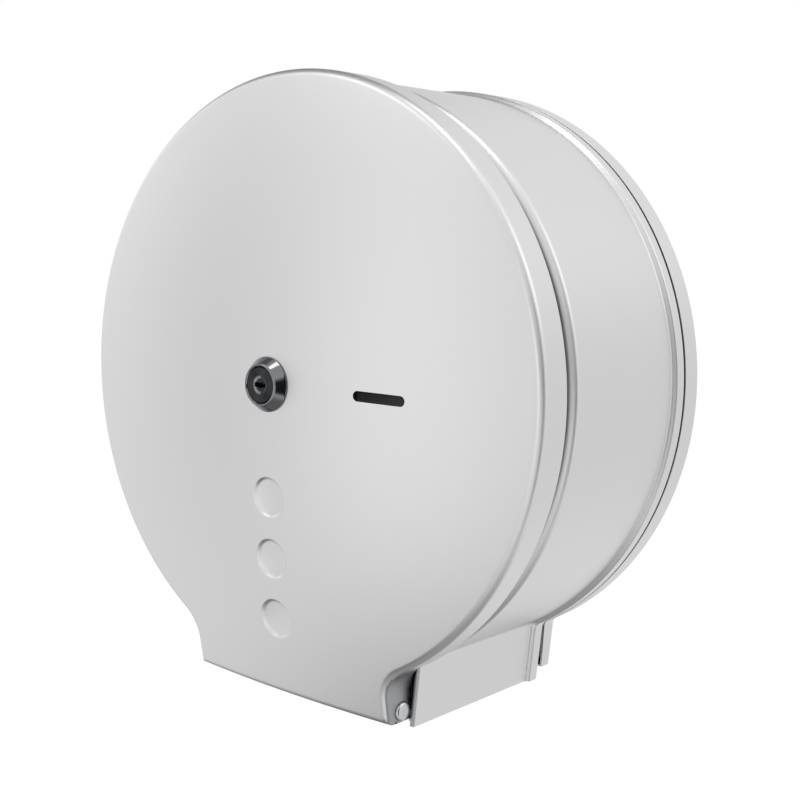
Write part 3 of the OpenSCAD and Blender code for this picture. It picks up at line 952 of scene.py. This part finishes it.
    def lid(self) -> bpy.types.Object:
        """The crowned face, its rounded rim, its flange, the slot and the dimples.

        Returns:
            The lid, with a darker third finish on the sides of its foot, painted shade for the recess
            there.
        """
        whole = Outline(self.body_r, self.lid_foot_w, self.lid_low, self.lid_waist)
        rr = self.rim_round
        dimples = [self.dimple(z) for z in self.dimple_heights]
        bore = circle(0, 0, self.barrel_d / 2 + 0.1, 64)
        holes = [bore, self.slot()] + [loop for loop, _, _ in dimples]
        flat, faces = panel(whole.inset(rr).loop(), holes, spacing=4.0)
        shape = Shape([(x, self.face_y(x, z), z) for x, z in flat], faces)
        for _, points, faces in dimples:
            shape.take(points, faces)
        rim = []
        for k in range(9):
            a = math.pi / 2 * (1 - k / 8)
            inner = whole.inset(rr * (1 - math.cos(a)))
            rim.append([(x, self.face_y(x, z) + rr * (1 - math.sin(a)), z) for x, z in inner.loop()])
        shape.take(*strip(rim, closed=True))
        side = [(x, self.face_y(x, z) + rr, z) for x, z in whole.band()]
        shape.take(*strip([[(x, y + (self.flange_rear(z) - y) * k / 4, z) for x, y, z in side]
                           for k in range(5)], closed=False))
        lower = sorted({p for p in whole.loop() if p[1] == self.lid_low}, reverse=True)
        shape.take(*strip([[(x, self.face_y(x, z) + rr + self.low_flange * k / 2, z) for x, z in lower]
                           for k in range(3)], closed=False))
        lid = self._faced(shape.piece("lid_pressing"), lambda at: (0, -1, 0))
        thickened(lid, self.sheet, edge=0.3)
        # The sides of the foot take the greyer fold finish: painted shade for the recess there.
        lid.data.materials.append(SHADED_FOLD.material())
        for face in lid.data.polygons:
            x, _, z = face.center / MM
            shade_on_foot = abs(x) > self.lid_foot_w - 4.5 and z < self.lid_low + 31.6
            if shade_on_foot and abs(face.normal.x) > 0.7 and face.material_index == 0:
                face.material_index = 2
        return lid

    # -- the drum --

    def drum(self) -> bpy.types.Object:
        """The band: a neck inside the lid, a shoulder, a step and an open foot.

        Returns:
            The drum.
        """
        neck_in = self.band_in - self.sheet - self.neck_gap
        ridge, ridge_run = self.lid_rear + self.shoulder, self.shoulder_run
        rear, step, step_run = self.drum_rear, self.drum_rear - self.step_back, self.step_run

        def row(y: float, extra_in: float = 0.0) -> list[Point]:
            """One ring of the band.

            Args:
                y: Its depth.
                extra_in: How far it is drawn in, for the lip at the rear.

            Returns:
                The ring's points.
            """
            if y < (ridge + step) / 2:
                t = min(max((ridge - y) / ridge_run, 0.0), 1.0)
                out = neck_in * (1 - math.sqrt(1 - t * t))
            else:
                out = self.band_in * wave((y - step) / step_run + 0.5)
            ring = Outline(self.body_r - self.band_in + out, self.drum_foot_w + max(out, 0.0),
                           self.drum_low, self.drum_waist, self.foot_lean)
            return [(x, y, z) for x, z in ring.inset(extra_in, rise=False).band()]

        # In front of the foot only the round part of the neck goes on
        front_rows = [row(self.rim_y + self.neck_front + y) for y in (0, 3)] + [row(self.foot_front)]
        n, skip = len(front_rows[0]), Outline.foot_steps + Outline.waist_steps
        points, quads = strip(front_rows, closed=False)
        shape = Shape(points, [f for f in quads if skip <= f[0] % n < n - 1 - skip])
        ys = {self.foot_front, self.foot_front + 2, rear - 3.0, rear - 0.7, rear - 0.35, rear - 0.1}
        ys |= {ridge - ridge_run * math.cos(math.pi / 2 * k / 16) for k in range(17)}
        ys |= set(np.linspace(ridge + 1.0, step - step_run, 18))
        ys |= {step + step_run * (k / 12 - 0.55) for k in range(14)}
        rows = [row(y) for y in sorted(ys)] + [row(rear - 0.02, 0.25)]
        rows += [row(rear, d) for d in (0.6, 1.2, 3.0, 6.0, 9.0, self.drum_lip)]
        shape.take(*strip(rows, closed=False))
        drum = self._faced(shape.piece("drum_band", merge_mm=0.02), lambda at: (at.x, 0, at.z))
        thickened(drum, self.sheet, edge=0.28)
        unroll(drum)
        return drum

    def hems(self) -> bpy.types.Object:
        """The folded front edges of the drum's foot, as two rounded hems.

        Returns:
            Both hems as one piece, in the greyer fold finish as painted shade, but for the outer side.
        """
        lean = math.radians(self.foot_lean)
        wall = self.drum_foot_w - self.sheet / math.cos(lean)
        x_in = wall - (self.hem_d / 2 - self.sheet - 0.1) / math.cos(lean)
        back = self.foot_front + self.fold_back
        fold = [(0.0, back), (0.0, back + self.fold_depth), (self.fold_reach, back + self.fold_depth),
                (self.fold_reach, back)]
        pieces = []
        for side in (-1, 1):
            path = [(side * (x_in + up * math.sin(lean)), self.foot_front + 0.5,
                     self.drum_low + up * math.cos(lean)) for up in np.linspace(0, self.hem_length, 9)]
            pieces.append(rod("hem", path, self.hem_d / 2))
            # The sheet's folded end stands inwards, behind the lid's edge
            pieces.append(prism("fold", fold, 0.6, self.hem_length + 3.0, lambda u, v, w: (
                side * (wall + w * math.sin(lean) - u), v, self.drum_low + w * math.cos(lean))))
        hems = joined("drum_foot_hems", pieces)
        hems.data.materials.append(SATIN_FACE.material())
        hems.data.materials.append(SHADED_FOLD.material())
        # All but the outer sides take the greyer fold finish: painted shade behind the lid's edge.
        for face in hems.data.polygons:
            outer = abs(face.normal.x) > 0.8 and face.normal.x * face.center.x > 0
            face.material_index = 0 if outer else 1
        return hems

    # -- the back plate --

    def back_plate(self, wall_holes: Sequence[Flat], rivet_holes: Sequence[Flat]) -> bpy.types.Object:
        """The shallow pan that stands on the wall.

        Args:
            wall_holes: Centres of the holes for the wall screws.
            rivet_holes: Centres of the holes for the spindle's rivets.

        Returns:
            The pan.
        """
        whole = Outline(self.body_r, self.drum_foot_w + 0.5, self.drum_low + self.pan_foot_up,
                        self.drum_waist, self.foot_lean)
        r, front = self.back_round, self.rim_trim - self.back_rim
        holes = [circle(x, z, self.wall_hole_r, 40) for x, z in wall_holes]
        holes += [circle(x, z, self.rivet_hole_r, 32) for x, z in rivet_holes]
        flat, faces = panel(whole.inset(r).loop(), holes, spacing=7.0)
        shape = Shape([(x, 0.0, z) for x, z in flat], faces)
        rows = []
        for k in range(7):
            a = math.pi / 2 * (1 - k / 6)
            inner = whole.inset(r * (1 - math.cos(a)))
            rows.append([(x, -r * (1 - math.sin(a)), z) for x, z in inner.loop()])
        falls = [sum(by * smooth_step((top - z) / run) for by, top, run in self.pan_falls)
                 for _, z in whole.loop()]
        for t in (0.35, 0.7, 0.92, 1.0):
            rows.append([(x, -r + t * (front + fall + r), z) for (x, z), fall in zip(whole.loop(), falls)])
        shape.take(*strip(rows, closed=True))
        pan = self._faced(shape.piece("back_pan"), lambda at: (0, 1, 0))
        thickened(pan, self.sheet, edge=0.18)
        unroll(pan)
        return pan

    def make(self) -> None:
        """Builds the shells and dresses them."""
        dress(self.lid(), SATIN_FACE, Body.LID, Slot.STEEL, "lid")
        dress(self.drum(), SATIN_BAND, Body.BASE, Slot.STEEL, "drum")
        dress(self.hems(), SATIN_FACE, Body.BASE, Slot.STEEL)
        holes = [(sx * self.wall_hole_x, sz * self.wall_hole_z) for sx in (-1, 1) for sz in (-1, 1)]
        r, turns = SPINDLE_RIVET_CIRCLE, [math.radians(SPINDLE_RIVET_START + 120 * k) for k in range(3)]
        rivets = [(r * math.cos(a), r * math.sin(a)) for a in turns]
        dress(self.back_plate(holes, rivets), SATIN_BAND, Body.BASE, Slot.STEEL, "back_plate")


# ---- Lock ----


@dataclass
class Lock:
    """The cam lock in the middle of the lid."""

    face_y: float = -132.0
    bezel_d: float = 23.5
    bezel_h: float = 4.6
    barrel_d: float = 18.0
    barrel_rear: float = -114.0
    flats: float = 16.0
    pitch: float = 1.0
    crest: float = 0.4
    plug_d: float = 15.5
    core_d: float = 11.0
    dish_r: float = 3.9
    key_l: float = 6.4
    key_w: float = 1.9

    @property
    def length(self) -> float:
        """How far the barrel goes back from the face."""
        return self.barrel_rear - self.face_y

    def barrel(self) -> bpy.types.Object:
        """The bezel and the barrel behind it, with its thread.

        Returns:
            All three as one piece.
        """
        r, p, h, bore = self.bezel_d / 2, self.plug_d / 2, self.bezel_h, self.core_d / 2 + 0.1
        profile = [
            (bore, -0.6), (self.barrel_d / 2 - 1.1, -0.6), (r - 0.3, -0.02), (r, 0.1), (r, 0.55),
            (r - 0.18, 0.85), (r - 0.3, 1.02), (p + 1.58, h - 0.58), (p + 1.45, h - 0.4),
            (p + 1.2, h - 0.1), (p + 0.95, h), (p + 0.5, h), (p + 0.15, h - 0.35), (p + 0.1, 1.0),
            (bore, 1.0), (bore, -0.6),
        ]
        bezel = lathe("lock_bezel", profile, (0, self.face_y, 0), steps=128)
        root = self.barrel_d / 2 - self.crest
        edge = math.asin(self.flats / 2 / root)
        turns = [edge * (k / 16 - 1) for k in range(33)]
        section = [(root * math.cos(a), root * math.sin(a)) for a in turns]
        section += [(-x, z) for x, z in section[::-1]]
        barrel = prism("lock_barrel_body", section, self.face_y - 0.3, self.barrel_rear,
                       lambda x, z, y: (x, y, z))
        thread = grown(thread_tree(), "lock_barrel_thread", Radius=root * MM, Pitch=self.pitch * MM,
                       Turns=(self.length - 1.6) / self.pitch, Crest=self.crest * MM,
                       Flats=self.flats * MM, Rear=(self.barrel_rear - 0.4) * MM,
                       Material=CHROME.material())
        return joined("lock_bezel_and_barrel", [bezel, barrel, thread])

    def plug(self) -> bpy.types.Object:
        """The plug with its turned face, dished middle and keyway.

        Returns:
            The plug, with the left half of its dish in a brighter second finish, a painted highlight.
        """
        p, top, core, dish = self.plug_d / 2, self.bezel_h - 0.2, self.core_d / 2, self.dish_r
        rings = [(0.3, -self.length), (core, -self.length), (core, top - 3.2), (p, top - 3.0),
                 (p, top - 0.45), (p - 0.4, top)]
        r = p - 0.9
        while r > dish + 0.5:  # the marks that turning leaves
            rings += [(r, top - 0.02), (r - 0.16, top - 0.12), (r - 0.32, top - 0.02)]
            r -= 0.6
        rings += [(dish, top - 0.02), (dish - 0.1, top - 0.06), (dish - 0.95, top - 0.3),
                  (dish - 1.1, top - 0.32), (0.3, top - 0.32)]
        rows = [[(x, self.face_y - h, z) for x, z in circle(0, 0, rho, 96)] for rho, h in rings]
        plug = solid(rows).piece("lock_plug_turned")
        plug.data.materials.append(PLUG_PAINTED_DARK.material())
        plug.data.materials.append(CHROME.material())
        for face in plug.data.polygons:
            x, y, z = face.center / MM
            in_dish = dish - 1.05 < math.hypot(x, z) < dish - 0.02 and y < self.face_y - top + 0.6
            # The left half of the dish takes the brighter chrome: a painted highlight.
            if in_dish and x < 0.5:
                face.material_index = 1
        key = self._key_cutter()
        modified(plug, "BOOLEAN", operation="DIFFERENCE", object=key, solver="EXACT")
        bpy.data.objects.remove(key)
        return sharpen(plug, 25)

    def _key_cutter(self) -> bpy.types.Object:
        """The stepped section of the keyway.

        Returns:
            A body to cut with.
        """
        l, w = self.key_l / 2, self.key_w / 2
        outline = [(-l, -w), (-0.6, -w), (-0.4, -w - 0.45), (0.5, -w - 0.45), (0.7, -w), (l, -w),
                   (l, w), (1.3, w), (1.1, w + 0.4), (0.3, w + 0.4), (0.1, w), (-l, w)]
        front = self.face_y - self.bezel_h - 1
        return prism("key_cutter", outline, front, self.face_y + 3, lambda x, z, y: (x, y, z))

    def make(self) -> None:
        """Builds the lock's seen pieces and dresses them."""
        dress(self.barrel(), CHROME, Body.LID, Slot.CHROME, "lock_barrel")
        dress(self.plug(), PLUG_PAINTED_DARK, Body.LOCK, Slot.CHROME, "lock_plug")


# ---- Hinge ----


@dataclass
class Hinge:
    """The rivets that the lid turns on."""

    foot_w: float = 58.5
    pin_y: float = -106.5
    pin_z: float = -135.0
    head_d: float = 8.8
    head_h: float = 1.9
    pin_d: float = 4.0
    pin_grip: float = 3.7  # through the lid, the washer and the hinge bracket
    touch: float = 0.1

    def rivet(self, name: str, side: int) -> bpy.types.Object:
        """One rivet: a domed head outside the lid's foot and a peened tail.

        Args:
            name: The rivet's name.
            side: 1 for the right, -1 for the left.

        Returns:
            The rivet.
        """
        h, r, grip = self.head_h, self.pin_d / 2, -self.pin_grip
        # A slight flat with a dimple is left in the middle by the setting tool
        middle = [(0.01, h - 0.1), (0.8, h - 0.07)]
        head = [d for d in dome(self.head_d / 2, h, 0.25, 10) if d[0] > 1.2]
        tail = [(self.head_d / 2, 0.0), (r, 0.0), (r, grip), (r + 1.0, grip), (r + 0.8, grip - 0.9),
                (r + 0.2, grip - 1.2), (0.01, grip - 1.2)]
        place = (side * (self.foot_w + self.touch), self.pin_y, self.pin_z)
        return lathe(name, middle + head + tail, place, (side, 0, 0), 64)

    def make(self) -> None:
        """Builds both rivets."""
        for side, node in ((-1, "hinge_rivet_left"), (1, "hinge_rivet_right")):
            dress(self.rivet(node + "_domed", side), RIVET_METAL, Body.BASE, Slot.RIVET, node)


# ---- Rivets that hold the sheets ----


@dataclass(frozen=True)
class RivetRing:
    """Equal rivets at even steps round the body's axis, held between two depths."""

    node: str
    radius: float
    count: int
    first_degrees: float
    front: float
    rear: float
    tail: float
    shank_d: float = 4.0
    head_d: float = 7.0
    head_h: float = 1.2

    def make(self, tree: bpy.types.NodeTree) -> None:
        """Turns one rivet and sets its copies round the axis.

        Args:
            tree: The tree that sets pieces round the axis.
        """
        shank, h, grip = self.shank_d / 2, self.head_h, self.front - self.rear
        hollow = [(0.01, h - 0.9), (0.7, h - 0.85), (0.95, h - 0.1)]
        head = [d for d in dome(self.head_d / 2, h, 0.2, 8) if d[0] > 1.0]
        end = [(self.head_d / 2, 0.0), (shank, 0.0), (shank, grip)]
        if self.tail:
            end += [(shank + 0.8, grip), (shank + 0.8, grip - self.tail)]
        end.append((0.01, grip - self.tail))
        one = lathe("one_rivet", hollow + head + end, (0, self.front, 0), steps=40)
        ring = grown(tree, self.node + "_round_the_axis", Piece=one, Count=self.count,
                     Radius=self.radius * MM, First_angle=math.radians(self.first_degrees),
                     Material=RIVET_METAL.material())
        bpy.data.objects.remove(one)
        dress(sharpen(ring, 30), RIVET_METAL, Body.BASE, Slot.RIVET, self.node)


# ---- CAD nodes that keep their shape ----


@dataclass
class KeptNodes:
    """CAD nodes that are shown as they are, each with its finish."""

    frame: dict
    finishes: dict[str, Finish] = field(default_factory=lambda: {
        "drum_brackets": MILL_SHEET,
        # The hinge brackets take the dark inside finish: painted shade.
        "hinge_bracket_left": SHADED_INSIDE, "hinge_bracket_right": SHADED_INSIDE,
        "hinge_washer_left": NYLON, "hinge_washer_right": NYLON,
        "tear_blade_left": MILL_SHEET, "tear_blade_right": MILL_SHEET,
        "lock_nut": ZINC_PLATE, "lock_cam": ZINC_PLATE, "cam_screw": ZINC_PLATE,
        "spindle_foot": MILL_SHEET, "axle": ZINC_PLATE,
        "core_hub": MOULDED_WHITE, "hub_clip": BLACK_SPRING,
        "keeper": MILL_SHEET, "keeper_screw": ZINC_PLATE,
    })

    def make(self) -> None:
        """Gives each kept node its material."""
        for name, finish in self.finishes.items():
            node = self.frame["nodes"][name]
            node.data.materials.clear()
            node.data.materials.append(finish.material())
            LOG.info("%s keeps its CAD shape", name)


# ---- Studio ----


@dataclass(frozen=True)
class Patch:
    """A soft patch of more or less light in the studio, as gloss sees it."""

    azimuth: float
    elevation: float
    inner: float
    outer: float
    change: float
    tall: float = 1.0

    def added(self, tree: bpy.types.NodeTree, ahead: bpy.types.NodeSocket,
              level: bpy.types.NodeSocket | float) -> bpy.types.NodeSocket:
        """Adds the patch to the light level.

        Args:
            tree: The world's node tree.
            ahead: The direction that is looked in.
            level: The level so far.

        Returns:
            The new level.
        """
        az, el = math.radians(self.azimuth), math.radians(self.elevation)
        towards = (math.sin(az) * math.cos(el), -math.cos(az) * math.cos(el), math.sin(el) / self.tall)
        squeezed = add(tree, "ShaderNodeVectorMath", {0: ahead, 1: (1, 1, 1 / self.tall)},
                       operation="MULTIPLY")
        unit = add(tree, "ShaderNodeVectorMath", {0: squeezed.outputs[0]}, operation="NORMALIZE")
        near = add(tree, "ShaderNodeVectorMath",
                   {0: unit.outputs[0], 1: tuple(Vector(towards).normalized())},
                   operation="DOT_PRODUCT")
        share = add(tree, "ShaderNodeMapRange",
                    {0: near.outputs["Value"], 1: math.cos(math.radians(self.outer)),
                     2: math.cos(math.radians(self.inner)), 3: 0.0, 4: self.change},
                    interpolation_type="SMOOTHSTEP")
        both = add(tree, "ShaderNodeMath", {0: level, 1: share.outputs[0]}, operation="ADD")
        return both.outputs[0]


@dataclass
class Studio:
    """Camera, lamps, floor and background."""

    place_mm: Point = (401.676, -521.997, 67.675)
    right: Point = (0.76226, 0.64655, 0.03039)
    down: Point = (0.10664, -0.07915, -0.99114)
    ahead: Point = (-0.63842, 0.75875, -0.12928)
    focal_px: float = 1327.8
    image_px: float = 800.0
    sensor_mm: float = 36.0
    floor_z: float = -0.42
    floor_half: float = 6.0
    floor_glow: float = 1.12
    floor_glow_share: float = 0.85
    white: float = 1.0
    gloss_level: float = 1.0
    diffuse_level: float = 0.6
    # Azimuth is from the front towards the right; the camera stands at 40 degrees
    patches: tuple[Patch, ...] = (
        Patch(10, -2, 4, 11, 0.7, tall=1.6),
        Patch(42, 6, 5, 14, -0.8),
        Patch(70, -5, 8, 13, -0.97, tall=4.4),
        Patch(24, 80, 5, 11, 4.0),
        Patch(-109, 46, 20, 40, -0.7),
        Patch(-125, -38, 12, 34, -0.6),
        Patch(-52, -4, 6, 14, -0.24, tall=2.2),
        Patch(-27, -8, 4, 12, 0.34, tall=2.8),
        Patch(-72, 8, 4, 12, 0.12, tall=2.4),
        Patch(-8, -2, 6, 14, -0.2, tall=3.0),
        Patch(-50, 38, 8, 22, -0.1),
        Patch(-88, 20, 8, 22, 0.5),
        Patch(-24, -46, 6, 26, -0.5),
        Patch(-66, -52, 6, 24, -0.25),
        Patch(0, -90, 22, 50, -0.62),
        Patch(140, -12, 5, 40, -0.12),
        Patch(120, 45, 8, 40, 0.14),
    )

    def camera(self) -> None:
        """The camera at the photograph's place."""
        data = bpy.data.cameras.new("photo_camera")
        data.sensor_width = self.sensor_mm
        data.sensor_fit = "HORIZONTAL"
        data.lens = self.focal_px / self.image_px * self.sensor_mm
        data.clip_start = 0.01
        camera = linked("photo_camera", data)
        turn = Matrix((Vector(self.right), -Vector(self.down), -Vector(self.ahead))).transposed()
        camera.matrix_world = Matrix.Translation(Vector(self.place_mm) * MM) @ turn.to_4x4()
        bpy.context.scene.camera = camera

    def world(self) -> None:
        """A pale studio. The camera sees plain white, gloss sees soft patches."""
        world = bpy.data.worlds.new("studio")
        bpy.context.scene.world = world
        tree = empty_tree(world)
        rays = add(tree, "ShaderNodeLightPath")
        gloss = add(tree, "ShaderNodeMath",
                    {0: rays.outputs["Is Glossy Ray"], 1: rays.outputs["Is Transmission Ray"]},
                    operation="MAXIMUM")
        ahead = add(tree, "ShaderNodeTexCoord").outputs["Generated"]
        level: bpy.types.NodeSocket | float = self.gloss_level
        for patch in self.patches:
            level = patch.added(tree, ahead, level)
        seen = add(tree, "ShaderNodeMix",
                   {"Factor": gloss.outputs[0], 2: self.diffuse_level, 3: level}, data_type="FLOAT")
        shown = add(tree, "ShaderNodeMix",
                    {"Factor": rays.outputs["Is Camera Ray"], 2: seen.outputs[0], 3: self.white},
                    data_type="FLOAT")
        light = add(tree, "ShaderNodeBackground", {"Color": (1, 1, 1, 1), "Strength": shown.outputs[0]})
        add(tree, "ShaderNodeOutputWorld", {"Surface": light.outputs[0]})

    def floor(self) -> None:
        """A plain pale floor, well below the part that hangs on its wall."""
        mesh = bpy.data.meshes.new("floor")
        s, z = self.floor_half, self.floor_z
        mesh.from_pydata([(-s, -s, z), (s, -s, z), (s, s, z), (-s, s, z)], [], [(0, 1, 2, 3)])
        floor = linked("floor", mesh)
        floor.visible_glossy = False
        made = bpy.data.materials.new("floor_painted_white")
        tree = empty_tree(made)
        seen = add(tree, "ShaderNodeLightPath").outputs["Is Camera Ray"]
        paint = add(tree, "ShaderNodeBsdfDiffuse", {"Color": (0.8, 0.8, 0.8, 1)})
        glow = add(tree, "ShaderNodeEmission", {"Color": (1, 1, 1, 1), "Strength": self.floor_glow})
        share = add(tree, "ShaderNodeMath", {0: seen, 1: self.floor_glow_share}, operation="MULTIPLY")
        both = add(tree, "ShaderNodeMixShader",
                   {0: share.outputs[0], 1: paint.outputs[0], 2: glow.outputs[0]})
        add(tree, "ShaderNodeOutputMaterial", {"Surface": both.outputs[0]})
        mesh.materials.append(made)

    def lamp(self, name: str, at: Point, watts: float, size: float = 0.9) -> None:
        """A square soft box that looks at the middle of the object.

        Args:
            name: The lamp's name.
            at: Its place in metres.
            watts: Its power.
            size: Its side in metres.
        """
        data = bpy.data.lights.new(name, "AREA")
        data.size = size
        data.energy = watts
        lamp = linked(name, data)
        lamp.location = at
        lamp.rotation_euler = (Vector((0, -0.07, 0)) - Vector(at)).to_track_quat("-Z", "Y").to_euler()

    def make(self) -> None:
        """Sets the camera, the light and the background."""
        bpy.context.scene.view_settings.view_transform = "Standard"
        self.camera()
        self.world()
        self.floor()
        self.lamp("key_soft_box", (-0.9, -1.3, 1.4), 3.0)
        self.lamp("fill_soft_box", (1.6, 0.5, 1.2), 2.0)


def main() -> None:
    """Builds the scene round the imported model."""
    logging.basicConfig(level=logging.INFO, format="%(name)s: %(message)s")
    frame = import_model()
    Studio().make()
    Shells().make()
    Lock().make()
    Hinge().make()
    ring = ring_tree()
    RivetRing("bracket_rivets", radius=125.0, count=4, first_degrees=45.0,
              front=-14.8, rear=-12.3, tail=1.0).make(ring)
    RivetRing("spindle_rivets", radius=SPINDLE_RIVET_CIRCLE, count=3,
              first_degrees=SPINDLE_RIVET_START, front=-3.0, rear=0.0, tail=0.0).make(ring)
    KeptNodes(frame).make()


if __name__ == "__main__":
    main()
